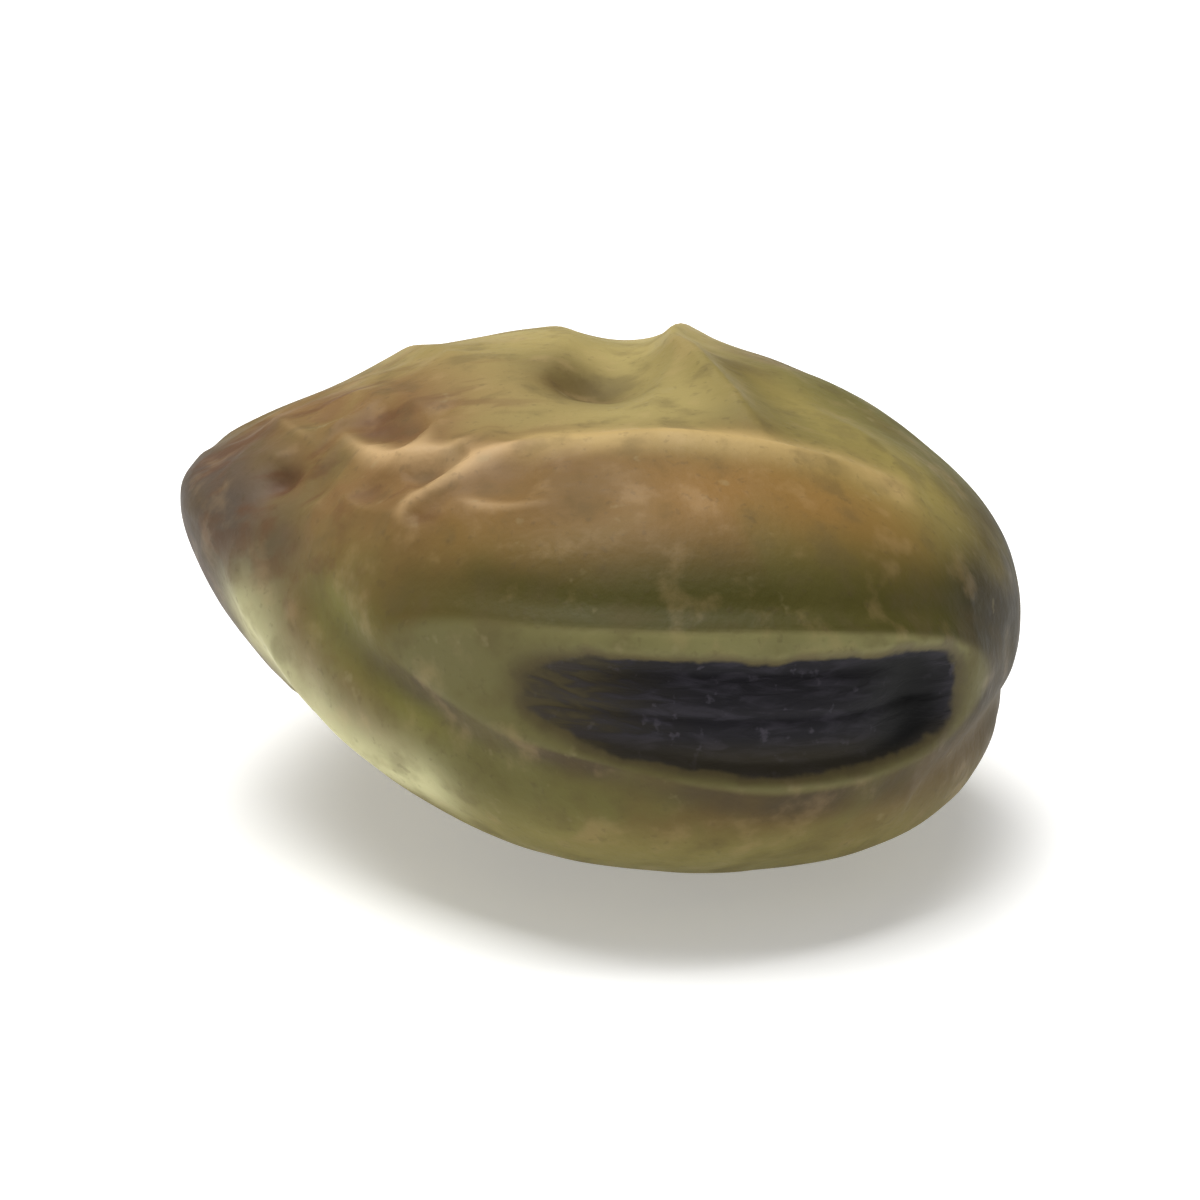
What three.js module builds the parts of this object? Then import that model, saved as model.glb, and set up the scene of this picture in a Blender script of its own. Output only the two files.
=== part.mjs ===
// A dried broad bean, lying on one of its broad faces. Millimetres, +Z up.
// The seed is one piece: the hilum, the black scar where it hung in its pod, belongs to its coat.
// The hilum end points to -Y, and the origin is on the surface below the middle of the bean.
// Every feature is placed by two angles in degrees, as on a globe inside the bean: the azimuth,
// anticlockwise from +X seen from above, and the elevation above the bean's middle plane.

import * as THREE from 'three';
import { mergeVertices } from 'three/addons/utils/BufferGeometryUtils.js';

// The outline seen from above: the radius every 30 degrees of azimuth, starting at +X.
const OUTLINE_RADII = [9.1, 8.3, 9.2, 10.2, 9.7, 8.8, 8.8, 7.8, 8.6, 10.2, 10.7, 9.8];
const UPPER_HEIGHT = 5.58;
const LOWER_HEIGHT = 4.7;

// How full the cross-section is: 2 is an ellipse, and more is blunter. It is blunt at the hilum.
const FULLNESS = 2.34;
const FULLNESS_CHANGE = 0.30;
const BELLY_EXTRA_FULLNESS = 0.12;
const BLUNTEST_AZIMUTH = 285;

// The upper face thins towards both sides, the belly deepens towards +X, and the -X tip is raised.
const THINNING_RIGHT = 0.035;
const THINNING_START_RIGHT = 3.5;
const THINNING_LEFT = 0.19;
const THINNING_START_LEFT = 5.8;
const BELLY_SLOPE = 0.035;
const BELLY_SLOPE_END = 2.5;
const NOSE_SLOPE = 0.07;
const TIP_RISE = 0.0033;

// The resting spot: the belly is flat where it touches the surface.
const RESTING_SPOT_DEPTH = 0.3;

// The hilum is a long pad sunk in an eye-shaped lip. Heights are above the bean's middle plane.
const HILUM_AZIMUTH = 290.5;
const HILUM_HALF_ANGLE = 29.5;
const HILUM_HEIGHT = 0.82;
const HILUM_SLOPE = -0.0167;
const HILUM_HALF_WIDTH = 1.30;
const HILUM_SQUARENESS = { above: 3.5, belowLeft: 1.8, belowRight: 2.6 };
const HILUM_RECESS = 0.40;
const HILUM_CROWN = 0.22;
const PAD_EDGE_INSIDE = 0.74;
const PAD_EDGE_OUTSIDE = 1.12;
const LIP_SQUARENESS = 1.8;
const LIP_REACH_LEFT = 1.64;
const LIP_REACH_RIGHT = 1.20;
const LIP_REACH_ABOVE = 1.42;
const LIP_REACH_BELOW = 1.20;
const LIP_REACH_BELOW_LEFT = 0.88;
const LIP_BREADTH = 0.28;
const LIP_HEIGHT = 0.22;
const LIP_HEIGHT_BELOW = 0.10;

// Broad hollows where the flesh has shrunk: face 1 is the upper one, -1 the belly.
const BROAD_HOLLOWS = [
  { face: 1, x: 0.7, y: -0.8, halfX: 1.7, halfY: 2.8, depth: 0.62 },
  { face: 1, x: 4.6, y: -0.8, halfX: 1.6, halfY: 1.8, depth: 0.35 },
  { face: 1, x: 0.4, y: 5.0, halfX: 1.4, halfY: 2.6, depth: 0.32 },
  { face: -1, x: -4.6, y: 1.0, halfX: 2.0, halfY: 4.0, depth: 0.45 },
  { face: -1, x: 5.6, y: -0.6, halfX: 1.8, halfY: 3.4, depth: 0.45 },
];

// A broad hollow begins and is full where the coat's normal has these heights towards its face.
const FACE_BEGINS = -0.1;
const FACE_IS_FULL = 0.35;

// Smooth valleys in the coat: above the hilum, beside the bump of the young root, and right of it.
const VALLEYS = [
  { through: [[236, 24], [259, 29], [282, 31], [305, 29], [326, 20]], breadth: 1.2, depth: 0.28 },
  { through: [[206, 16], [228, 7], [243, -2], [253, -9], [264, -18]], breadth: 0.7, depth: 0.20 },
  { through: [[312, -26], [328, -19], [344, -17], [2, -16]], breadth: 0.6, depth: 0.28 },
];

// Wrinkles of the dried coat: ridges that fade out at both ends.
const WRINKLES = [
  // Three that cross the far rim and run down the upper face.
  { through: [[127, 42], [145, 62], [195, 74]], breadth: 0.60, height: 0.26 },
  { through: [[100, 42], [99, 68], [160, 84], [232, 68]], breadth: 1.05, height: 0.36 },
  { through: [[66, 44], [59, 66], [12, 76], [318, 68], [309, 58]], breadth: 0.50, height: 0.62 },
  { through: [[40, 68], [303, 76], [287, 66]], breadth: 0.50, height: 0.18 },
  // The crest above the hilum.
  {
    through: [[250, 58], [265, 61], [286, 62], [304, 58], [322, 49], [334, 40]],
    breadth: 0.60,
    height: 0.26,
  },
  // The net of small wrinkles on the left shoulder.
  { through: [[202, 47], [214, 45], [227, 47], [233, 57], [233, 68]], breadth: 0.38, height: 0.30 },
  { through: [[176, 44], [189, 54], [212, 66]], breadth: 0.42, height: 0.22 },
  { through: [[235, 40], [240, 46], [249, 55], [262, 61]], breadth: 0.36, height: 0.28 },
  { through: [[245, 43], [255, 43], [264, 45]], breadth: 0.34, height: 0.22 },
  { through: [[258, 63], [264, 57], [265, 49]], breadth: 0.38, height: 0.15 },
  { through: [[233, 43], [238, 38], [242, 33]], breadth: 0.36, height: 0.16 },
  { through: [[180, 36], [190, 40], [204, 40]], breadth: 0.38, height: 0.10 },
  { through: [[186, 24], [196, 38], [208, 30]], breadth: 0.40, height: 0.07 },
  // Broad soft ones on the right end, the far side and the belly.
  { through: [[30, 58], [348, 60], [332, 40]], breadth: 0.90, height: 0.22 },
  { through: [[150, 46], [160, 24], [152, -4]], breadth: 0.80, height: 0.22 },
  { through: [[118, 40], [112, 18], [119, -12]], breadth: 0.90, height: 0.25 },
  { through: [[86, 40], [80, 14], [88, -16]], breadth: 0.80, height: 0.20 },
  { through: [[50, 42], [44, 16], [50, -8]], breadth: 0.80, height: 0.16 },
  { through: [[200, -38], [172, -50], [128, -54]], breadth: 0.80, height: 0.20 },
  { through: [[335, -40], [10, -46], [52, -50]], breadth: 0.80, height: 0.18 },
  // The bump of the young root on the left, and the bulge below the hilum's right end.
  { through: [[196, 2], [206, -12], [226, -25], [246, -30]], breadth: 0.90, height: 0.28 },
  { through: [[296, -44], [314, -38], [330, -34], [346, -32]], breadth: 1.20, height: 0.30 },
];

// How round the top of a ridge is, as a share of its breadth.
const RIDGE_ROUNDING = 0.6;

// Creases pressed into the coat between the wrinkles.
const CREASES = [
  { through: [[200, 48], [213, 50], [223, 56]], breadth: 0.75, depth: 0.36 },
  { through: [[233, 44], [237, 50], [241, 54]], breadth: 0.50, depth: 0.32 },
  { through: [[134, 40], [140, 20], [134, -6]], breadth: 0.70, depth: 0.16 },
  { through: [[102, 34], [97, 12], [103, -10]], breadth: 0.70, depth: 0.16 },
];

// Small round dents, and a low swelling of the far rim, which has a depth below zero.
const DENTS = [
  { at: [253, 51], radius: 1.05, depth: 0.20 },
  { at: [215, 33], radius: 0.90, depth: 0.18 },
  { at: [198, 31], radius: 0.55, depth: 0.30 },
  { at: [268, 78], radius: 0.90, depth: 0.26 },
  { at: [226, 38], radius: 0.70, depth: 0.20 },
  { at: [186, 50], radius: 0.80, depth: 0.15 },
  { at: [22, 50], radius: 2.20, depth: -0.15 },
];

// The coat is cut into this many cells along each edge of a cube wrapped round the bean.
const CELLS = 28;
const STEPS_BETWEEN_PLACES = 6;
const CORNER_TOLERANCE = 1e-4;
const BEND = 2;

const radians = THREE.MathUtils.degToRad;
const smooth = THREE.MathUtils.smoothstep;
const mix = THREE.MathUtils.lerp;

// Zero and then a slope of one, joined by a smooth bend.
function ramp(value) {
  return 0.5 * (value + Math.hypot(value, BEND));
}

function outlineRadius(azimuth) {
  const count = OUTLINE_RADII.length;
  const place = (((azimuth / (2 * Math.PI)) * count) % count + count) % count;
  const first = Math.floor(place);
  const f = place - first;
  const [a, b, c, d] = [-1, 0, 1, 2].map((k) => OUTLINE_RADII[(first + k + count) % count]);
  return b + 0.5 * f * (c - a + f * (2 * a - 5 * b + 4 * c - d + f * (3 * (b - c) + d - a)));
}

// The smooth bean without its relief: the point of its surface in a direction from its middle.
function skinPoint(direction) {
  const { x, y, z } = direction;
  const azimuth = Math.atan2(y, x);
  const level = Math.hypot(x, y);
  const fullness = FULLNESS + FULLNESS_CHANGE * Math.cos(azimuth - radians(BLUNTEST_AZIMUTH));
  const power = z < 0 ? fullness + BELLY_EXTRA_FULLNESS : fullness;
  const reach = (level ** power + Math.abs(z) ** power) ** (-1 / power);
  const radius = reach * level * outlineRadius(azimuth);
  const px = radius * Math.cos(azimuth);
  const py = radius * Math.sin(azimuth);
  const pastRight = THINNING_RIGHT * ramp(px - THINNING_START_RIGHT);
  const pastLeft = THINNING_LEFT * ramp(-px - THINNING_START_LEFT);
  const upper = UPPER_HEIGHT * (1 - pastRight - pastLeft);
  const lower = LOWER_HEIGHT * (1 + BELLY_SLOPE * (px - ramp(px - BELLY_SLOPE_END)));
  const height = reach * z * (z > 0 ? upper : lower);
  return new THREE.Vector3(px, py, height - NOSE_SLOPE * py + TIP_RISE * Math.max(-px, 0) ** 3);
}

function direction([azimuth, elevation]) {
  const a = radians(azimuth);
  const e = radians(elevation);
  return new THREE.Vector3(Math.cos(a) * Math.cos(e), Math.sin(a) * Math.cos(e), Math.sin(e));
}

// A smooth line on the bean through the places given.
function skinPath({ through }) {
  const line = new THREE.CatmullRomCurve3(through.map(direction), false, 'catmullrom');
  const steps = STEPS_BETWEEN_PLACES * (through.length - 1);
  return line.getPoints(steps).map((point) => skinPoint(point.normalize()));
}

// The distance from a point to a path, and how far along the path its nearest point is, 0 to 1.
function nearestOnPath(point, path) {
  const piece = new THREE.Line3();
  const foot = new THREE.Vector3();
  let best = { distance: Infinity, along: 0 };
  for (let i = 0; i < path.length - 1; i += 1) {
    piece.set(path[i], path[i + 1]);
    const share = piece.closestPointToPointParameter(point, true);
    const distance = piece.at(share, foot).distanceTo(point);
    if (distance < best.distance) best = { distance, along: (i + share) / (path.length - 1) };
  }
  return best;
}

function bell(distance, breadth) {
  return Math.exp(-((distance / breadth) ** 2));
}

// The depth of a rounded groove along a path, fading out at both ends.
function groove(point, path, { breadth, depth }) {
  const { distance, along } = nearestOnPath(point, path);
  return depth * bell(distance, breadth) * Math.sqrt(4 * along * (1 - along));
}

// The height of a ridge along a path: a rounded top with straighter sides, fading out at both ends.
function ridge(point, path, { breadth, height }) {
  const { distance, along } = nearestOnPath(point, path);
  const rounding = RIDGE_ROUNDING * breadth;
  const down = (Math.hypot(distance, rounding) - rounding) / breadth;
  return height * Math.exp(-down) * 4 * along * (1 - along);
}

function oval(a, b, power) {
  return (Math.abs(a) ** power + Math.abs(b) ** power) ** (1 / power);
}

// The pad and the lip as rounded ovals round the hilum's middle: each is 1 on its own edge.
function hilumOvals(point) {
  const azimuth = (THREE.MathUtils.radToDeg(Math.atan2(point.y, point.x)) + 360) % 360;
  const turn = azimuth - HILUM_AZIMUTH;
  const along = turn / HILUM_HALF_ANGLE;
  const across = (point.z - HILUM_HEIGHT - HILUM_SLOPE * turn) / HILUM_HALF_WIDTH;
  const reach = along < 0 ? LIP_REACH_LEFT : LIP_REACH_RIGHT;
  const reachBelow = mix(LIP_REACH_BELOW_LEFT, LIP_REACH_BELOW, smooth(along, -0.8, 0.1));
  const below = along < 0 ? HILUM_SQUARENESS.belowLeft : HILUM_SQUARENESS.belowRight;
  return {
    pad: oval(along, across, across > 0 ? HILUM_SQUARENESS.above : below),
    lip: oval(along / reach, across / (across > 0 ? LIP_REACH_ABOVE : reachBelow), LIP_SQUARENESS),
    along,
    across,
  };
}

// How far a point is inside the pad, from 0 to 1, and the height of the pad and its lip there.
function hilumRelief(point) {
  if (point.y > 0) return { inside: 0, height: 0 };
  const { pad, lip, along, across } = hilumOvals(point);
  const inside = 1 - smooth(pad, PAD_EDGE_INSIDE, PAD_EDGE_OUTSIDE);
  const crown = HILUM_CROWN * (1 - Math.min(Math.abs(across), 1) ** 2);
  const faded = smooth(along, -0.9, 0) * smooth(-across, -0.2, 0.4);
  const lipHeight = mix(LIP_HEIGHT, LIP_HEIGHT_BELOW, faded) * bell(lip - 1, LIP_BREADTH);
  return { inside, height: inside * (crown - HILUM_RECESS) + (1 - inside) * lipHeight };
}

const valleyPaths = VALLEYS.map(skinPath);
const wrinklePaths = WRINKLES.map(skinPath);
const creasePaths = CREASES.map(skinPath);
const dentPlaces = DENTS.map((dent) => skinPoint(direction(dent.at)));

// The height of the broad forms above the smooth bean, along its normal.
function broadRelief(point, normal) {
  const hilum = hilumRelief(point);
  let height = hilum.height;
  for (const hollow of BROAD_HOLLOWS) {
    const onFace = smooth(hollow.face * normal.z, FACE_BEGINS, FACE_IS_FULL);
    const spread = bell(point.x - hollow.x, hollow.halfX) * bell(point.y - hollow.y, hollow.halfY);
    height -= hollow.depth * onFace * spread;
  }
  VALLEYS.forEach((valley, i) => {
    height -= groove(point, valleyPaths[i], valley) * (1 - hilum.inside);
  });
  return height;
}

// The height of the wrinkles, creases and dents, along the normal of the broad form.
function fineRelief(point) {
  let height = 0;
  WRINKLES.forEach((wrinkle, i) => {
    height += ridge(point, wrinklePaths[i], wrinkle);
  });
  CREASES.forEach((crease, i) => {
    height -= groove(point, creasePaths[i], crease);
  });
  DENTS.forEach((dent, i) => {
    height -= dent.depth * bell(dentPlaces[i].distanceTo(point), dent.radius);
  });
  return height;
}

// A closed net of even cells: a cube of cells whose corners are drawn out to the smooth bean.
function smoothBean() {
  const cube = new THREE.BoxGeometry(2, 2, 2, CELLS, CELLS, CELLS);
  cube.deleteAttribute('normal');
  cube.deleteAttribute('uv');
  const geometry = mergeVertices(cube, CORNER_TOLERANCE);
  const spread = (value) => Math.tan((value * Math.PI) / 4);
  moveVertices(geometry, ({ x, y, z }) => {
    const outward = new THREE.Vector3(spread(x), spread(y), spread(z)).normalize();
    return skinPoint(outward);
  });
  return geometry;
}

function moveVertices(geometry, place) {
  const position = geometry.attributes.position;
  const point = new THREE.Vector3();
  for (let i = 0; i < position.count; i += 1) {
    point.fromBufferAttribute(position, i);
    const moved = place(point, i);
    position.setXYZ(i, moved.x, moved.y, moved.z);
  }
}

// Raises each vertex along its normal by a relief that is measured on the smooth bean.
function raise(geometry, smoothPlaces, relief) {
  geometry.computeVertexNormals();
  const normal = new THREE.Vector3();
  moveVertices(geometry, (point, i) => {
    normal.fromBufferAttribute(geometry.attributes.normal, i);
    return point.addScaledVector(normal, relief(smoothPlaces[i], normal));
  });
}

// Flattens the resting spot, and puts the origin on it below the middle of the bean.
function restOnSurface(geometry) {
  geometry.computeBoundingBox();
  const surface = geometry.boundingBox.min.z + RESTING_SPOT_DEPTH;
  moveVertices(geometry, (point) => point.setZ(Math.max(point.z, surface) - surface));
  const middle = geometry.boundingBox.getCenter(new THREE.Vector3());
  geometry.translate(-middle.x, -middle.y, 0);
}

function beanGeometry() {
  const geometry = smoothBean();
  const position = geometry.attributes.position;
  const smoothPlaces = [];
  for (let i = 0; i < position.count; i += 1) {
    smoothPlaces.push(new THREE.Vector3().fromBufferAttribute(position, i));
  }
  raise(geometry, smoothPlaces, broadRelief);
  raise(geometry, smoothPlaces, fineRelief);
  restOnSurface(geometry);
  geometry.computeVertexNormals();
  return geometry;
}

const coat = new THREE.MeshStandardMaterial({ color: 0x8a7748, roughness: 0.5, metalness: 0 });

const bean = new THREE.Mesh(beanGeometry(), coat);
bean.name = 'bean';

const part = new THREE.Group();
part.add(bean);

export default part;
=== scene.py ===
import math

import bmesh
import bpy
import numpy as np
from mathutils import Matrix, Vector, noise


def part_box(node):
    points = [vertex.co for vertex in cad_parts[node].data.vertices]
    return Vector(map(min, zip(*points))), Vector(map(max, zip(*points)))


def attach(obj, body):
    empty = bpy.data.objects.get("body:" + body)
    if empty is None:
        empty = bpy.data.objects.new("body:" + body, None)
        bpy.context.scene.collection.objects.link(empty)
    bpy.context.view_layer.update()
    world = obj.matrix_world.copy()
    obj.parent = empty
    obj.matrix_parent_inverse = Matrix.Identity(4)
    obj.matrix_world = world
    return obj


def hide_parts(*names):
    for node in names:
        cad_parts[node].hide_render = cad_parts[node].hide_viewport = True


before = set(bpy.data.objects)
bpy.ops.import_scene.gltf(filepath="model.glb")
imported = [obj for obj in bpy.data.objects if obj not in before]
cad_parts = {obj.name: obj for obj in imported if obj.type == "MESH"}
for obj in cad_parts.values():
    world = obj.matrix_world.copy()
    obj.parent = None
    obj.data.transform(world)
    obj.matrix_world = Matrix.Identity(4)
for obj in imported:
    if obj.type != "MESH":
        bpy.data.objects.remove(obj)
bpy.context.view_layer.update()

# The bean: a dried seed, one body from tip to tip, lying on one of its broad faces.
# The flesh shrank as it dried, so the coat sank into hollows and gathered in wrinkles round them.
# A cube of fine cells is drawn out to the smooth bean, and the relief is then raised on it in mm.
CELLS = 124
OUTLINE_RADII = [9.1, 8.3, 9.2, 10.2, 9.7, 8.8, 8.8, 7.8, 8.6, 10.2, 10.7, 9.8]
UPPER_HEIGHT, LOWER_HEIGHT = 5.58, 4.7
FULLNESS, FULLNESS_CHANGE, BELLY_EXTRA_FULLNESS = 2.34, 0.30, 0.12
BLUNTEST_AZIMUTH = math.radians(285)
THINNING_RIGHT, THINNING_START_RIGHT = 0.035, 3.5
THINNING_LEFT, THINNING_START_LEFT = 0.19, 5.8
BELLY_SLOPE, BELLY_SLOPE_END = 0.035, 2.5
NOSE_SLOPE, TIP_RISE = 0.07, 0.0033
RESTING_SPOT_DEPTH = 0.3
BEND = 2.0
RIDGE_ROUNDING = 0.15
FACE_BEGINS, FACE_IS_FULL = -0.1, 0.35


def smooth(low, high, value):
    share = np.clip((value - low) / (high - low), 0, 1)
    return share * share * (3 - 2 * share)


def bell(distance, breadth):
    return np.exp(-((distance / breadth) ** 2))


def ramp(value):
    """Zero and then a slope of one, joined by a smooth bend."""
    return 0.5 * (value + np.hypot(value, BEND))


def through_points(a, b, c, d, share):
    """The smooth line between b and c that also heeds a and d."""
    bend = 2 * a - 5 * b + 4 * c - d + share * (3 * (b - c) + d - a)
    return b + 0.5 * share * (c - a + share * bend)


def outline_radius(azimuth):
    radii = np.array(OUTLINE_RADII)
    place = (azimuth / (2 * math.pi) * len(radii)) % len(radii)
    first = np.floor(place).astype(int)
    a, b, c, d = (radii[(first + k) % len(radii)] for k in (-1, 0, 1, 2))
    return through_points(a, b, c, d, place - first)


def skin(direction):
    """Points of the smooth bean, in mm, in the directions given from its middle."""
    x, y, z = direction.T
    azimuth = np.arctan2(y, x)
    level = np.hypot(x, y)
    power = FULLNESS + FULLNESS_CHANGE * np.cos(azimuth - BLUNTEST_AZIMUTH)
    power = power + np.where(z < 0, BELLY_EXTRA_FULLNESS, 0)
    reach = (level**power + np.abs(z) ** power) ** (-1 / power)
    radius = reach * level * outline_radius(azimuth)
    px, py = radius * np.cos(azimuth), radius * np.sin(azimuth)
    past_right = THINNING_RIGHT * ramp(px - THINNING_START_RIGHT)
    past_left = THINNING_LEFT * ramp(-px - THINNING_START_LEFT)
    upper = UPPER_HEIGHT * (1 - past_right - past_left)
    lower = LOWER_HEIGHT * (1 + BELLY_SLOPE * (px - ramp(px - BELLY_SLOPE_END)))
    height = reach * z * np.where(z > 0, upper, lower)
    return np.stack([px, py, height - NOSE_SLOPE * py + TIP_RISE * np.maximum(-px, 0) ** 3], axis=1)


def toward(azimuth, elevation):
    a, e = math.radians(azimuth), math.radians(elevation)
    return np.array([math.cos(a) * math.cos(e), math.sin(a) * math.cos(e), math.sin(e)])


def skin_path(places, steps=6):
    """A smooth line on the bean through places given as azimuth and elevation in degrees."""
    stops = [toward(*place) for place in places]
    stops = [2 * stops[0] - stops[1]] + stops + [2 * stops[-1] - stops[-2]]
    line = []
    for a, b, c, d in zip(stops, stops[1:], stops[2:], stops[3:]):
        line += [through_points(a, b, c, d, share) for share in np.arange(steps) / steps]
    line = np.array(line + [stops[-2]])
    return skin(line / np.linalg.norm(line, axis=1)[:, None])


def nearest(points, path):
    """How far each point is from a path, and how far along the path that is, from 0 to 1."""
    distance = np.full(len(points), np.inf)
    along = np.zeros(len(points))
    for i, (start, end) in enumerate(zip(path, path[1:])):
        piece = end - start
        share = np.clip((points - start) @ piece / (piece @ piece), 0, 1)
        here = np.linalg.norm(points - start - share[:, None] * piece, axis=1)
        along = np.where(here < distance, (i + share) / (len(path) - 1), along)
        distance = np.minimum(distance, here)
    return distance, along


def groove(points, places, breadth, depth):
    distance, along = nearest(points, skin_path(places))
    return depth * bell(distance, breadth) * np.sqrt(4 * along * (1 - along))


def ridge(points, places, breadth, height):
    distance, along = nearest(points, skin_path(places))
    rounding = RIDGE_ROUNDING * breadth
    down = (np.hypot(distance, rounding) - rounding) / breadth
    return height * np.exp(-down) * 4 * along * (1 - along)


def patch(points, place, radius):
    centre = skin(toward(*place)[None, :])[0]
    return bell(np.linalg.norm(points - centre, axis=1), radius)


# Broad hollows: the face they are on, their middle x and y, their half breadths, and their depth.
BROAD_HOLLOWS = [
    (1, 0.6, -0.2, 1.7, 3.0, 0.60),
    (1, 4.6, -0.8, 1.6, 1.8, 0.35),
    (1, 0.4, 5.0, 1.4, 2.6, 0.32),
    (-1, -4.6, 1.0, 2.0, 4.0, 0.45),
    (-1, 5.6, -0.6, 1.8, 3.4, 0.45),
]
# Valleys, wrinkles and creases: the places they run through, their breadth, and depth or height.
VALLEYS = [
    ([(236, 24), (259, 29), (282, 31), (305, 29), (326, 20)], 1.2, 0.17),
    ([(206, 16), (228, 7), (243, -2), (253, -9), (264, -18)], 0.7, 0.20),
    ([(312, -26), (328, -19), (344, -17), (2, -16)], 0.6, 0.28),
]
WRINKLES = [
    ([(127, 42), (145, 62), (195, 74)], 0.60, 0.26),
    ([(100, 42), (99, 68), (160, 84), (232, 68)], 1.05, 0.36),
    ([(66, 44), (59, 66), (12, 76), (318, 68), (309, 58)], 0.50, 0.62),
    ([(40, 68), (303, 76), (287, 66)], 0.50, 0.18),
    ([(250, 58), (265, 61), (286, 62), (304, 58), (322, 49), (334, 40)], 0.50, 0.26),
    ([(186, 50), (203, 48), (216, 47), (228, 49), (237, 54), (245, 63)], 0.50, 0.27),
    ([(245, 53), (241, 45), (237, 39), (240, 32)], 0.42, 0.21),
    ([(238, 44), (242, 50), (248, 55), (257, 58), (268, 61)], 0.44, 0.27),
    ([(244, 43), (250, 44), (257, 45), (267, 47)], 0.42, 0.19),
    ([(198, 44), (186, 45), (166, 42)], 0.40, 0.16),
    ([(262, 42), (262, 48), (258, 57)], 0.40, 0.05),
    ([(229, 49), (226, 55), (204, 61), (186, 60)], 0.42, 0.12),
    ([(208, 41), (218, 37), (228, 36), (238, 38)], 0.26, 0.11),
    ([(202, 26), (212, 31), (226, 31)], 0.28, 0.10),
    ([(184, 30), (191, 38), (200, 37)], 0.30, 0.10),
    ([(30, 58), (348, 60), (332, 40)], 0.90, 0.22),
    ([(150, 46), (160, 24), (152, -4)], 0.80, 0.22),
    ([(118, 40), (112, 18), (119, -12)], 0.90, 0.25),
    ([(86, 40), (80, 14), (88, -16)], 0.80, 0.20),
    ([(50, 42), (44, 16), (50, -8)], 0.80, 0.16),
    ([(200, -38), (172, -50), (128, -54)], 0.80, 0.20),
    ([(335, -40), (10, -46), (52, -50)], 0.80, 0.18),
    ([(196, 2), (206, -12), (226, -25), (246, -30)], 0.90, 0.28),
    ([(296, -44), (314, -38), (330, -34), (346, -32)], 1.20, 0.30),
]
CREASES = [
    ([(194, 52), (208, 53), (222, 58)], 0.90, 0.33),
    ([(233, 44), (237, 50), (241, 54)], 0.50, 0.20),
    ([(134, 40), (140, 20), (134, -6)], 0.70, 0.16),
    ([(102, 34), (97, 12), (103, -10)], 0.70, 0.16),
]
# Dents: their place, radius and depth.
DENTS = [
    ((253, 51), 1.05, 0.20),
    ((210, 37), 0.85, 0.18),
    ((198, 35), 0.48, 0.40),
    ((262, 85), 0.85, 0.26),
    ((237, 48), 0.45, 0.15),
    ((226, 42), 0.60, 0.12),
    ((186, 50), 0.80, 0.15),
    ((22, 50), 2.20, -0.15),
]

# The hilum: the scar of the stalk, a long corky pad sunk in an eye-shaped lip of the coat.
# It has no piece of its own: the coat dips to it, and it is crowned with a slit along its middle.
HILUM_AZIMUTH, HILUM_HALF_ANGLE = 290.5, 29.5
HILUM_HEIGHT, HILUM_SLOPE, HILUM_HALF_WIDTH = 0.82, -0.0167, 1.30
HILUM_SQUARENESS = {"above": 3.5, "below_left": 1.8, "below_right": 2.6}
HILUM_RECESS, HILUM_CROWN = 0.40, 0.22
PAD_EDGE_INSIDE, PAD_EDGE_OUTSIDE = 0.74, 1.12
SLIT_DEPTH, SLIT_HALF_WIDTH, SLIT_ENDS = 0.07, 0.10, (1.0, 0.8)
PIT_ALONG, PIT_HALF_LENGTH, PIT_ACROSS, PIT_HALF_WIDTH, PIT_DEPTH = 0.72, 0.20, 0.05, 0.60, 0.30
LIP_SQUARENESS, LIP_REACH_LEFT, LIP_REACH_RIGHT = 1.8, 1.64, 1.20
LIP_REACH_ABOVE, LIP_REACH_BELOW, LIP_REACH_BELOW_LEFT = 1.42, 1.20, 0.88
LIP_BREADTH, LIP_HEIGHT, LIP_HEIGHT_BELOW = 0.20, 0.13, 0.06
LIP_WIDENS_ALONG, LIP_FADES_ALONG, LIP_FADES_ACROSS = (-0.8, 0.1), (-0.9, 0.0), (0.2, -0.4)
MOAT_PLACE, MOAT_BREADTH, MOAT_DEPTH, MOAT_FADES_ACROSS = 1.26, 0.16, 0.05, (-0.6, 0.6)
FAR_OFF = 9


def oval(a, b, power):
    return (np.abs(a) ** power + np.abs(b) ** power) ** (1 / power)


def hilum_ovals(points):
    """The pad and the lip, each 1 on its own edge, and the place along and across the pad."""
    turn = np.degrees(np.arctan2(points[:, 1], points[:, 0])) % 360 - HILUM_AZIMUTH
    along = turn / HILUM_HALF_ANGLE
    across = (points[:, 2] - HILUM_HEIGHT - HILUM_SLOPE * turn) / HILUM_HALF_WIDTH
    below = np.where(along < 0, HILUM_SQUARENESS["below_left"], HILUM_SQUARENESS["below_right"])
    pad = oval(along, across, np.where(across > 0, HILUM_SQUARENESS["above"], below))
    reach = np.where(along < 0, LIP_REACH_LEFT, LIP_REACH_RIGHT)
    widening = (LIP_REACH_BELOW - LIP_REACH_BELOW_LEFT) * smooth(*LIP_WIDENS_ALONG, along)
    below_reach = LIP_REACH_BELOW_LEFT + widening
    reach_across = np.where(across > 0, LIP_REACH_ABOVE, below_reach)
    lip = oval(along / reach, across / reach_across, LIP_SQUARENESS)
    behind = points[:, 1] > 0
    return np.where(behind, FAR_OFF, pad), np.where(behind, FAR_OFF, lip), along, across


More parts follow.
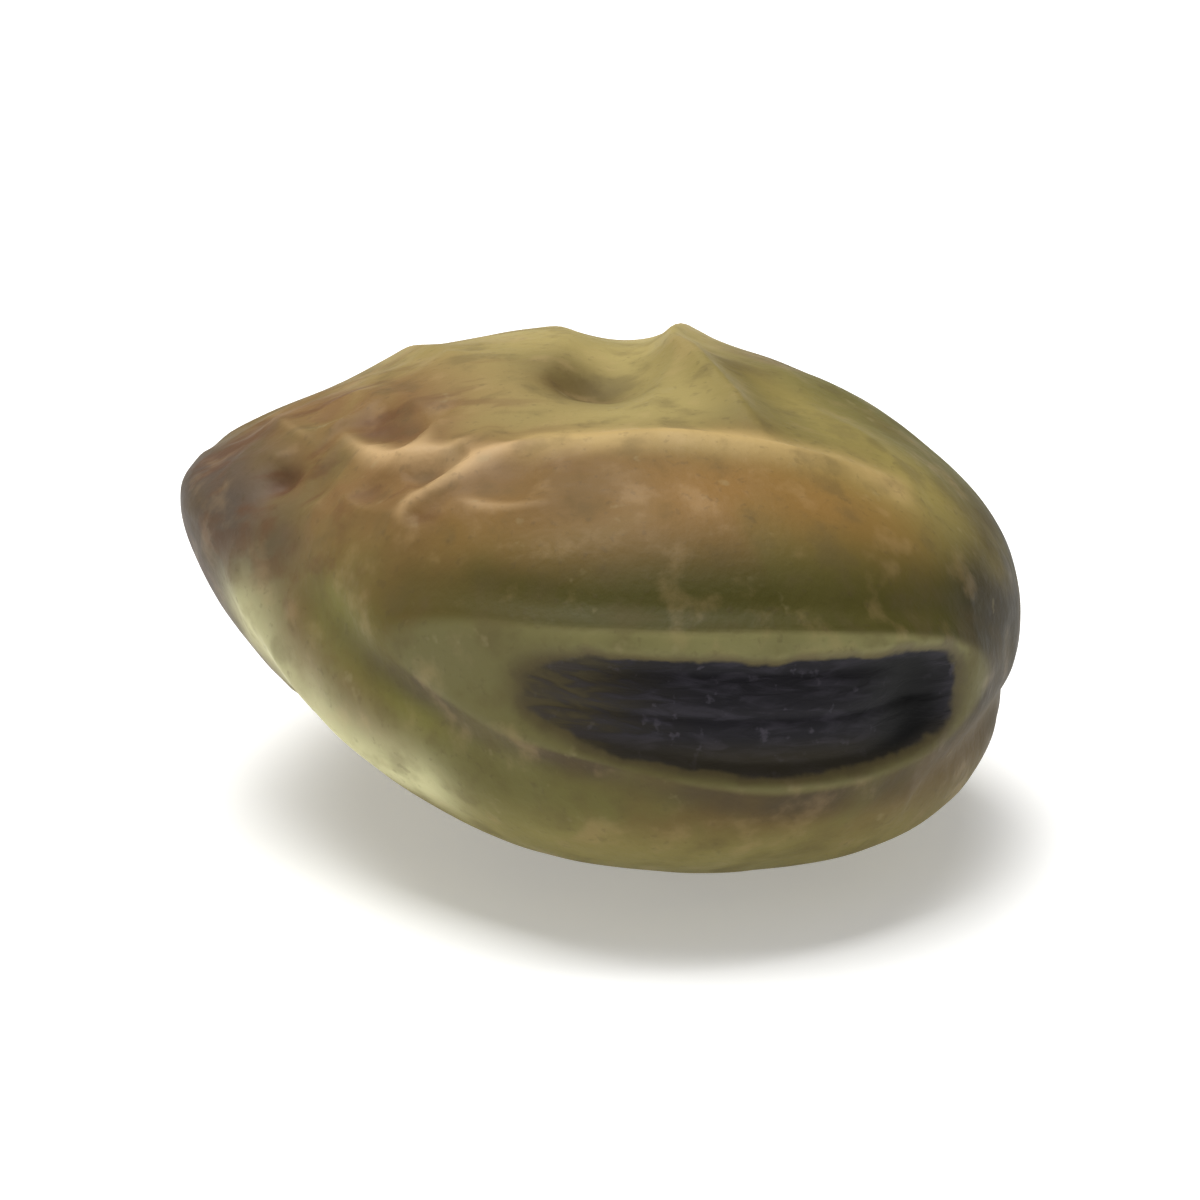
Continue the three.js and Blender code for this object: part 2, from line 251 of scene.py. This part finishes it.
def broad_relief(points, normals):
    pad, lip, along, across = hilum_ovals(points)
    inside = 1 - smooth(PAD_EDGE_INSIDE, PAD_EDGE_OUTSIDE, pad)
    crown = HILUM_CROWN * (1 - np.minimum(np.abs(across), 1) ** 2)
    slit = SLIT_DEPTH * bell(across, SLIT_HALF_WIDTH) * smooth(*SLIT_ENDS, np.abs(along))
    pit = PIT_DEPTH * bell(along - PIT_ALONG, PIT_HALF_LENGTH)
    pit = pit * bell(across - PIT_ACROSS, PIT_HALF_WIDTH)
    moat = MOAT_DEPTH * bell(lip - MOAT_PLACE, MOAT_BREADTH) * smooth(*MOAT_FADES_ACROSS, across)
    height = inside * (crown - HILUM_RECESS - slit - pit)
    faded = smooth(*LIP_FADES_ALONG, along) * smooth(*LIP_FADES_ACROSS, across)
    lip_height = LIP_HEIGHT + (LIP_HEIGHT_BELOW - LIP_HEIGHT) * faded
    height += (1 - inside) * (lip_height * bell(lip - 1, LIP_BREADTH) - moat)
    for face, x, y, half_x, half_y, depth in BROAD_HOLLOWS:
        on_face = smooth(FACE_BEGINS, FACE_IS_FULL, face * normals[:, 2])
        height -= depth * on_face * bell(points[:, 0] - x, half_x) * bell(points[:, 1] - y, half_y)
    for places, breadth, depth in VALLEYS:
        height -= groove(points, places, breadth, depth) * (1 - inside)
    return height


def fine_relief(points):
    height = sum(ridge(points, *wrinkle) for wrinkle in WRINKLES)
    height = height - sum(groove(points, *crease) for crease in CREASES)
    return height - sum(depth * patch(points, place, radius) for place, radius, depth in DENTS)


# The grain of the coat, in mm: slow waves and ripples all over, and a puckered net on the shoulder.
# Each reads its own part of the noise, and the wrinkles' lines stray a little, as dried skin does.
# The strays take their start from the clock unless they are given a seed.
NOISE_SEED = 1
noise.seed_set(NOISE_SEED)
WAVE_LENGTH, WAVE_HEIGHT, WAVE_SEED = 3.2, 0.055, 7.0
RIPPLE_LENGTH, RIPPLE_HEIGHT, RIPPLE_SEED = 1.1, 0.022, 19.0
PUCKER_LENGTH, PUCKER_HEIGHT, PUCKER_SEED = 1.5, 0.09, 40.0
STRAY_LENGTH, STRAY_WIDTH = 1.6, 0.14
SHOULDER = [((210, 44), 4.0, 1.0), ((244, 50), 1.8, 0.5), ((178, 46), 2.8, 1.0)]
GRAIN_BEGINS, GRAIN_IS_FULL = 0.9, 1.3


def waves(points, length, seed):
    return np.array([noise.noise(Vector(place)) for place in points / length + seed])


def wandering(points, length, width):
    """The points, each moved a little by a noise, so that what is laid on them isn't ruled."""
    moves = [noise.noise_vector(Vector(place)) for place in points / length]
    return points + width * np.array(moves)


net = bmesh.new()
bmesh.ops.create_cube(net, size=2)
bmesh.ops.subdivide_edges(net, edges=net.edges[:], cuts=CELLS - 1, use_grid_fill=True)
bean_mesh = bpy.data.meshes.new("broad_bean")
net.to_mesh(bean_mesh)
net.free()


def read_vertices(name):
    values = np.empty(len(bean_mesh.vertices) * 3)
    bean_mesh.vertices.foreach_get(name, values)
    return values.reshape(-1, 3)


def place_vertices(places_in_mm):
    bean_mesh.vertices.foreach_set("co", places_in_mm.ravel() / 1000)
    bean_mesh.update()


cube = np.tan(read_vertices("co") * math.pi / 4)
smooth_bean = skin(cube / np.linalg.norm(cube, axis=1)[:, None])
place_vertices(smooth_bean)
normals = read_vertices("normal")
shaped = smooth_bean + normals * broad_relief(smooth_bean, normals)[:, None]
place_vertices(shaped)

strayed = wandering(smooth_bean, STRAY_LENGTH, STRAY_WIDTH)
wrinkle_height = fine_relief(strayed)
pad, lip, along, across = hilum_ovals(smooth_bean)
off_pad = smooth(GRAIN_BEGINS, GRAIN_IS_FULL, pad)
shoulder = sum(share * patch(smooth_bean, place, radius) for place, radius, share in SHOULDER)
shoulder = np.minimum(shoulder, 1)
puckers = 0.5 - 2 * np.abs(waves(smooth_bean, PUCKER_LENGTH, PUCKER_SEED))
grain = WAVE_HEIGHT * waves(smooth_bean, WAVE_LENGTH, WAVE_SEED)
grain += RIPPLE_HEIGHT * waves(smooth_bean, RIPPLE_LENGTH, RIPPLE_SEED)
grain += PUCKER_HEIGHT * shoulder * puckers
shaped = shaped + read_vertices("normal") * (wrinkle_height + off_pad * grain)[:, None]

surface = shaped[:, 2].min() + RESTING_SPOT_DEPTH
shaped[:, 2] = np.maximum(shaped[:, 2], surface) - surface
low, high = (np.array(corner) * 1000 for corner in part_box("bean"))
middle = (low + high) / 2 - (shaped.min(axis=0) + shaped.max(axis=0)) / 2
shaped[:, :2] += middle[:2]
place_vertices(shaped)
bean_mesh.shade_smooth()


# The zones of colour on the coat, some of them painted highlight and painted shade. Some lie along
# lines, given as the WRINKLES are, with a breadth.
# Their edges wander, because the coat tanned unevenly. Each is kept as a share for every vertex.
# Each smooth() says where its zone begins and where it is full, in mm, or in parts of an oval.
WANDER_LENGTH, WANDER_WIDTH = 3.5, 1.3
# The ridges of the shoulder's net get a painted highlight.
HIGHLIT_RIDGES = WRINKLES[5:13]  # the net on the left shoulder
ZONE_LINES = {
    # crest_highlight: a painted highlight, a pale line along the crest where the light catches it.
    "crest_highlight": ([(258, 60), (286, 62), (304, 58), (319, 52), (326, 44)], 0.55),
    "orange": ([(250, 46), (281, 50), (302, 49), (318, 42)], 1.9),
    # The dark band above the hilum is partly the coat's own darker brown and partly painted shade
    # of the valley above the lip.
    "dark_band_and_shade": ([(243, 22), (263, 27), (285, 30), (305, 27), (328, 17)], 1.1),
    "left_fall": ([(240, 47), (256, 51), (270, 50)], 1.3),
    "right_slope": ([(344, 66), (330, 54), (334, 38), (340, 27)], 1.9),
    "peak_shade": ([(8, 71), (345, 70), (322, 62)], 0.75),
    "tip": ([(186, 16), (196, 12), (205, 16)], 1.2),
    "groove": ([(226, 9), (236, 3), (246, -4)], 0.8),
    # radicle_highlight: a painted highlight, pale where the lower left rim catches light from the
    # table.
    "radicle_highlight": ([(203, -14), (210, -20), (222, -25), (244, -30)], 1.0),
}
# Painted shade: the hollows on the top face are coloured dark olive, as if lying in shade.
DIMPLE_SHADE_PATCHES = [((262, 84), 1.2, 1.0), ((180, 86), 1.1, 0.6)]
TOP_MIDDLE, TOP_HALF_SIZE = (-1.1, 0.5), (5.0, 7.5)

zones = {}
for name, (places, breadth) in ZONE_LINES.items():
    zones[name] = bell(nearest(smooth_bean, skin_path(places))[0], breadth)

x, y = wandering(smooth_bean, WANDER_LENGTH, WANDER_WIDTH).T[:2]
up = normals[:, 2]
to_side = (x - TOP_MIDDLE[0]) / TOP_HALF_SIZE[0]
to_back = (y - TOP_MIDDLE[1]) / TOP_HALF_SIZE[1]
from_middle = np.hypot(to_side, to_back)
behind_crest = smooth(-5.3, -4.6, smooth_bean[:, 1])
zones["top_face"] = smooth(1.35, 0.55, from_middle) * behind_crest * (up > 0)
zones["underside"] = smooth(-0.35, -0.9, up)
zones["far_rim"] = smooth(0.5, 6.5, y) * smooth(0.95, 0.25, np.abs(up))
# The right end is darker: partly a darker brown of the coat, partly painted shade like that of a
# neighbouring bean.
zones["right_end_brown_and_shade"] = smooth(6.8, 9.2, x) * smooth(3.5, -1.5, y)
zones["tip"] = np.maximum(smooth(-6.2, -8.6, x), zones["tip"])
zones["shoulder"] = shoulder
dimple_shade = sum(share * patch(smooth_bean, place, radius) for place, radius, share in DIMPLE_SHADE_PATCHES)
zones["dimple_shade"] = np.minimum(dimple_shade, 1)

# Painted shade: the dark band is carried down over the lip's upper wall, as if the valley above it
# were in shade.
painted_shade_over_lip = smooth(1.75, 1.35, lip) * smooth(0.98, 1.06, lip) * smooth(0.1, 0.6, across)
zones["dark_band_and_shade"] = np.maximum(zones["dark_band_and_shade"], painted_shade_over_lip * smooth(-1.7, -1.2, along))
zones["lip"] = smooth(1.10, 0.98, lip)
zones["lip_top"] = smooth(1.06, 0.98, lip) * smooth(0.3, 0.8, across) * smooth(-1.4, 0.0, along)
# Below the pad the coat is darker: its own purple-brown, and painted shade under the pad's lower
# edge.
zones["below_pad_brown_and_shade"] = smooth(0.9, 1.1, lip) * smooth(1.7, 1.2, lip) * smooth(0.2, -0.5, across)
zones["pad"] = np.minimum(pad, 3)
zones["pad_along"] = np.clip(along, -3, 3)
zones["pad_across"] = np.clip(across, -3, 3)
# Painted shade: the pit at the pad's right end is coloured near black, as its recess lies in deep
# shade.
zones["pad_pit"] = bell(along - PIT_ALONG, 1.4 * PIT_HALF_LENGTH) * smooth(1.0, 0.85, pad)
# Painted light: relief lights the shoulder net's ridges with a pale highlight, and sunk paints
# shade into the hollows, darker the deeper they are.
zones["relief"] = sum(ridge(strayed, *wrinkle) for wrinkle in HIGHLIT_RIDGES)
zones["sunk"] = np.maximum(-wrinkle_height, 0) * (0.4 + 0.6 * shoulder)

for name, shares in zones.items():
    kept = bean_mesh.attributes.new(name, "FLOAT", "POINT")
    kept.data.foreach_set("value", shares)

bean = bpy.data.objects.new("broad_bean", bean_mesh)
bpy.context.collection.objects.link(bean)


# Dried seed coat: a thin leathery skin, grown smooth and then shrunk, which gives it a satin gloss.
# It tanned from olive to orange-brown as it aged, in slow clouds. Its ridges are painted paler as
# highlights, and its hollows darker as painted shade.
# The hilum is dull corky tissue, near black, with a pale bloom in fibres along it.
OLIVE, BROWN = "#605a2c", "#604d27"
# The zones' colours, laid from the first to the last, with the least and the most they cover.
ZONE_COLOURS = [
    ("underside", "#847a45", 0.75, 1.0),
    ("far_rim", "#614b3c", 0.3, 0.9),
    ("top_face", "#9f8f57", 0.75, 1.0),
    ("orange", "#82602b", 0.85, 1.0),
    ("left_fall", "#6a5024", 0.6, 1.0),
    ("right_slope", "#8d7e43", 0.6, 1.0),
    ("peak_shade", "#66592a", 0.4, 0.8),
    ("dimple_shade", "#4e411c", 0.6, 0.9),
    ("dark_band_and_shade", "#433e0e", 0.85, 1.0),
    ("shoulder", "#775a33", 0.5, 1.0),
    ("tip", "#4f453b", 0.6, 0.95),
    ("groove", "#6e6a29", 0.7, 1.0),
    ("radicle_highlight", "#c3bf91", 0.85, 1.0),
    ("below_pad_brown_and_shade", "#473b25", 0.5, 1.0),
    ("right_end_brown_and_shade", "#2e250d", 0.5, 1.0),
    ("lip", "#67613a", 0.9, 1.0),
    ("lip_top", "#837e50", 0.6, 1.0),
    # The crest's pale colour is a painted highlight.
    ("crest_highlight", "#b0955f", 0.5, 1.0),
]
# Patterns over them: where each begins and is full, the most it covers, and its colour.
# A pale colour: a painted highlight on the ridges, and a random paler mottle.
PALE_HIGHLIGHT_AND_MOTTLE = "#c2a274"
PATTERN_COLOURS = [
    # The relief's pale colour is a painted highlight, and the sunk's dark colour is painted shade.
    ("relief", 0.11, 0.29, 0.78, PALE_HIGHLIGHT_AND_MOTTLE),
    ("sunk", 0.05, 0.30, 0.60, "#50301a"),
    ("streak", 0.50, 0.68, 0.60, "#5b3a20"),
    ("mottle", 0.50, 0.70, 0.36, "#54472a"),
    ("mottle", 0.46, 0.28, 0.14, PALE_HIGHLIGHT_AND_MOTTLE),
    ("pore", 0.60, 0.74, 0.22, "#483b24"),
    ("scuff", 0.66, 0.76, 0.22, "#9c8f68"),
]
PAD_BLACK, PAD_BLOOM, PAD_SPECK = "#18161b", "#2f2c33", "#4b4750"
# PAD_PIT_SHADE is painted shade, near black, in the pit at the pad's right end.
PAD_OLIVE, PAD_PIT_SHADE, PAD_FRINGE = "#332d1c", "#050505", "#473b25"
# Noises: their size in mm, their detail and how far they twist. Real pores are too fine to show,
# so they are drawn coarser. The fibres are slender, and the streaks are drawn out along the bean.
NOISES = {
    "cloud": (5.0, 4, 0.5),
    "drift": (2.4, 3, 0.0),
    "mottle": (1.1, 5, 0.0),
    "streak": (0.9, 4, 0.4),
    "scuff": (0.7, 3, 0.0),
    "speck": (0.32, 3, 0.0),
    "pore": (0.22, 2, 0.0),
    "fibre": (0.9, 5, 0.6),
}
FIBRE_SLENDERNESS, STREAK_STRETCH = 3.75, (0.3, 1.0, 1.0)
PAD_HALF_LENGTH = 4.9
COAT_ROUGHNESS, PAD_ROUGHNESS, COAT_IOR, COAT_GLOSS = (0.54, 0.68), 0.72, 1.46, 0.24
GRAIN_DEPTH, GRAIN_STRENGTH = 0.00006, 0.5
EASED = {"interpolation_type": "SMOOTHSTEP"}


def linear(colour):
    """An sRGB hex colour as linear red, green, blue and alpha."""
    channels = [int(colour[i : i + 2], 16) / 255 for i in (1, 3, 5)]
    return [c / 12.92 if c <= 0.04045 else ((c + 0.055) / 1.055) ** 2.4 for c in channels] + [1.0]


coat = bpy.data.materials.new("dried_seed_coat")
coat.use_nodes = True
tree = coat.node_tree


def add(kind, inputs=None, output=0, **settings):
    """Adds a node with its settings and links to the coat, and gives back one of its outputs."""
    node = tree.nodes.new(kind)
    for name, value in settings.items():
        setattr(node, name, value)
    for socket, value in (inputs or {}).items():
        if isinstance(value, bpy.types.NodeSocket):
            tree.links.new(value, node.inputs[socket])
        else:
            node.inputs[socket].default_value = value
    return node.outputs[output]


pattern = {}
for name in zones:
    pattern[name] = add("ShaderNodeAttribute", output="Fac", attribute_name=name)

place = add("ShaderNodeTexCoord", output="Object")
drawn_out = add("ShaderNodeMapping", {"Vector": place, "Scale": STREAK_STRETCH})
pad_place = add("ShaderNodeCombineXYZ", {0: pattern["pad_along"], 1: pattern["pad_across"]})
pad_scale = (PAD_HALF_LENGTH / 1000, HILUM_HALF_WIDTH * FIBRE_SLENDERNESS / 1000, 1.0)
fibre_place = add("ShaderNodeMapping", {"Vector": pad_place, "Scale": pad_scale})
noise_places = {"streak": drawn_out, "fibre": fibre_place}
for name, (size, detail, twist) in NOISES.items():
    sizes = {"Scale": 1000 / size, "Detail": detail, "Distortion": twist}
    pattern[name] = add("ShaderNodeTexNoise", {"Vector": noise_places.get(name, place), **sizes})

# The coat's colours. A zone is thinner where the drift is low, and a streak keeps to the tanned
# shoulder and far rim, off the ridges.
browned = add("ShaderNodeMapRange", {"Value": pattern["cloud"], 1: 0.40, 2: 0.62}, **EASED)
layers = [(browned, BROWN)]
for name, over, least, most in ZONE_COLOURS:
    drift = {"Value": pattern["drift"], 1: 0.35, 2: 0.60, 3: least, 4: most}
    thinned = add("ShaderNodeMapRange", drift, **EASED)
    share = add("ShaderNodeMath", {0: pattern[name], 1: thinned}, operation="MULTIPLY")
    layers.append((share, over))

off_ridges = add("ShaderNodeMapRange", {"Value": pattern["relief"], 1: 0.16, 2: 0.04}, **EASED)
most_tanned = {0: pattern["shoulder"], 1: pattern["far_rim"]}
most_tanned = add("ShaderNodeMath", most_tanned, operation="MAXIMUM")
tanned = add("ShaderNodeMath", {0: most_tanned, 1: off_ridges}, operation="MULTIPLY")
for name, begins, full, most, over in PATTERN_COLOURS:
    shown = {"Value": pattern[name], 1: begins, 2: full, 4: most}
    share = add("ShaderNodeMapRange", shown, **EASED)
    if name == "streak":
        share = add("ShaderNodeMath", {0: tanned, 1: share}, operation="MULTIPLY")
    layers.append((share, over))

colour = linear(OLIVE)
for share, over in layers:
    colour = add("ShaderNodeMix", {0: share, 6: colour, 7: linear(over)}, 2, data_type="RGBA")

# The pad's colours: bloom on its fibres, pale specks, and olive on its low edge and between the
# fibres of its left end, which is worn through in places.
bloom = add("ShaderNodeMapRange", {"Value": pattern["fibre"], 1: 0.42, 2: 0.70, 4: 0.9}, **EASED)
specks = add("ShaderNodeMapRange", {"Value": pattern["speck"], 1: 0.60, 2: 0.72, 4: 0.5}, **EASED)
to_left = add("ShaderNodeMapRange", {"Value": pattern["pad_along"], 1: -0.20, 2: -0.95}, **EASED)
gaps = {"Value": pattern["fibre"], 1: 0.62, 2: 0.40, 3: 0.24, 4: 0.80}
gaps = add("ShaderNodeMapRange", gaps, **EASED)
left_end = add("ShaderNodeMath", {0: to_left, 1: gaps}, operation="MULTIPLY")
low_edge = {"Value": pattern["pad_across"], 1: -0.25, 2: -0.80, 4: 0.65}
low_edge = add("ShaderNodeMapRange", low_edge, **EASED)
olive = add("ShaderNodeMath", {0: left_end, 1: low_edge}, operation="MAXIMUM")
pad_layers = [(bloom, PAD_BLOOM), (specks, PAD_SPECK), (olive, PAD_OLIVE)]
pad_colour = linear(PAD_BLACK)
# Last, the pit is painted near black as shade.
for share, over in pad_layers + [(pattern["pad_pit"], PAD_PIT_SHADE)]:
    inputs = {0: share, 6: pad_colour, 7: linear(over)}
    pad_colour = add("ShaderNodeMix", inputs, 2, data_type="RGBA")

# The pad's edge is ragged, with a brown fringe round it.
stepped = {"Value": pattern["mottle"], 1: 0.3, 2: 0.7, 3: -0.05, 4: 0.05}
stepped = add("ShaderNodeMapRange", stepped, **EASED)
ragged = add("ShaderNodeMath", {0: pattern["pad"], 1: stepped}, operation="ADD")
inside = add("ShaderNodeMapRange", {"Value": ragged, 1: 1.00, 2: 0.93}, **EASED)
fringe = add("ShaderNodeMapRange", {"Value": ragged, 1: 1.14, 2: 0.98, 4: 0.75}, **EASED)
at_left_end = {"Value": pattern["pad_along"], 1: -0.40, 2: -1.00}
at_left_end = add("ShaderNodeMapRange", at_left_end, **EASED)
frayed = add("ShaderNodeMapRange", {"Value": pattern["fibre"], 1: 0.62, 2: 0.38, 3: 0.5}, **EASED)
worn = add("ShaderNodeMath", {0: at_left_end, 1: frayed}, operation="MULTIPLY")
left_over = add("ShaderNodeMapRange", {"Value": worn, 3: 1.0, 4: 0.35}, **EASED)
on_pad = add("ShaderNodeMath", {0: inside, 1: left_over}, operation="MULTIPLY")
colour = add("ShaderNodeMix", {0: fringe, 6: colour, 7: linear(PAD_FRINGE)}, 2, data_type="RGBA")
colour = add("ShaderNodeMix", {0: on_pad, 6: colour, 7: pad_colour}, 2, data_type="RGBA")

# The grain that is too fine for the mesh, and the gloss: satin on the coat, dull on the pad.
coat_grain = add("ShaderNodeMix", {0: 0.45, 2: pattern["pore"], 3: pattern["mottle"]})
height = add("ShaderNodeMix", {0: on_pad, 2: coat_grain, 3: pattern["fibre"]})
bumps = {"Height": height, "Strength": GRAIN_STRENGTH, "Distance": GRAIN_DEPTH}
bump = add("ShaderNodeBump", bumps)
dullest, glossiest = COAT_ROUGHNESS[1], COAT_ROUGHNESS[0]
coat_roughness = {"Value": pattern["mottle"], 1: 0.3, 2: 0.7, 3: glossiest, 4: dullest}
coat_roughness = add("ShaderNodeMapRange", coat_roughness, **EASED)
roughness = add("ShaderNodeMix", {0: on_pad, 2: coat_roughness, 3: PAD_ROUGHNESS})
shader = tree.nodes["Principled BSDF"]
tree.links.new(colour, shader.inputs["Base Color"])
tree.links.new(bump, shader.inputs["Normal"])
tree.links.new(roughness, shader.inputs["Roughness"])
shader.inputs["IOR"].default_value = COAT_IOR
shader.inputs["Specular IOR Level"].default_value = COAT_GLOSS
bean_mesh.materials.append(coat)

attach(bean, "root")
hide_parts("bean")

# The table: a plain sheet of matt white paper that glows a little, as if lit from below.
# Light comes back up from it under the belly.
TABLE_HALF_WIDTH, PAPER_WHITE, PAPER_ROUGHNESS, PAPER_GLOW = 0.6, "#f4f4f2", 0.9, 0.30
floor_net = bmesh.new()
bmesh.ops.create_grid(floor_net, x_segments=1, y_segments=1, size=TABLE_HALF_WIDTH)
floor_mesh = bpy.data.meshes.new("table")
floor_net.to_mesh(floor_mesh)
floor_net.free()
table = bpy.data.objects.new("table", floor_mesh)
bpy.context.collection.objects.link(table)
paper = bpy.data.materials.new("matt_white_paper")
paper.use_nodes = True
paper_shader = paper.node_tree.nodes["Principled BSDF"]
paper_shader.inputs["Base Color"].default_value = linear(PAPER_WHITE)
paper_shader.inputs["Roughness"].default_value = PAPER_ROUGHNESS
paper_shader.inputs["Emission Color"].default_value = linear("#ffffff")
paper_shader.inputs["Emission Strength"].default_value = PAPER_GLOW
floor_mesh.materials.append(paper)

# Studio light: a white room, one large soft lamp above the bean, and a faint one far to its left.
# Each lamp's place and its size are in metres, and its power is in watts.
ROOM_LIGHT = 0.20
LAMPS = {
    "overhead_lamp": ((-0.05, 0.06, 0.36), 0.30, 2.0),
    "left_lamp": ((-0.36, -0.16, 0.06), 0.24, 0.20),
}

world = bpy.data.worlds.new("white_room")
bpy.context.scene.world = world
world.use_nodes = True
world.node_tree.nodes["Background"].inputs["Color"].default_value = linear("#ffffff")
world.node_tree.nodes["Background"].inputs["Strength"].default_value = ROOM_LIGHT

for name, (lamp_place, size, power) in LAMPS.items():
    light = bpy.data.lights.new(name, "AREA")
    light.size = size
    light.energy = power
    holder = bpy.data.objects.new(name, light)
    bpy.context.collection.objects.link(holder)
    holder.location = lamp_place
    holder.rotation_euler = (-Vector(lamp_place)).to_track_quat("-Z", "Y").to_euler()

# The camera: in front of the bean and 20 degrees above the table, on a long lens. In metres.
ELEVATION = math.radians(20)
DISTANCE, PICTURE_WIDTH = 0.4, 0.0258
AIM = Vector((0, 0, 0.00453))
camera = bpy.data.cameras.new("camera")
camera.lens = camera.sensor_width * DISTANCE / PICTURE_WIDTH
camera.clip_start = 0.01
camera_holder = bpy.data.objects.new("camera", camera)
bpy.context.collection.objects.link(camera_holder)
away = Vector((0, -math.cos(ELEVATION), math.sin(ELEVATION)))
camera_holder.location = AIM + DISTANCE * away
camera_holder.rotation_euler = (-away).to_track_quat("-Z", "Y").to_euler()
bpy.context.scene.camera = camera_holder
bpy.context.scene.view_settings.view_transform = "Standard"
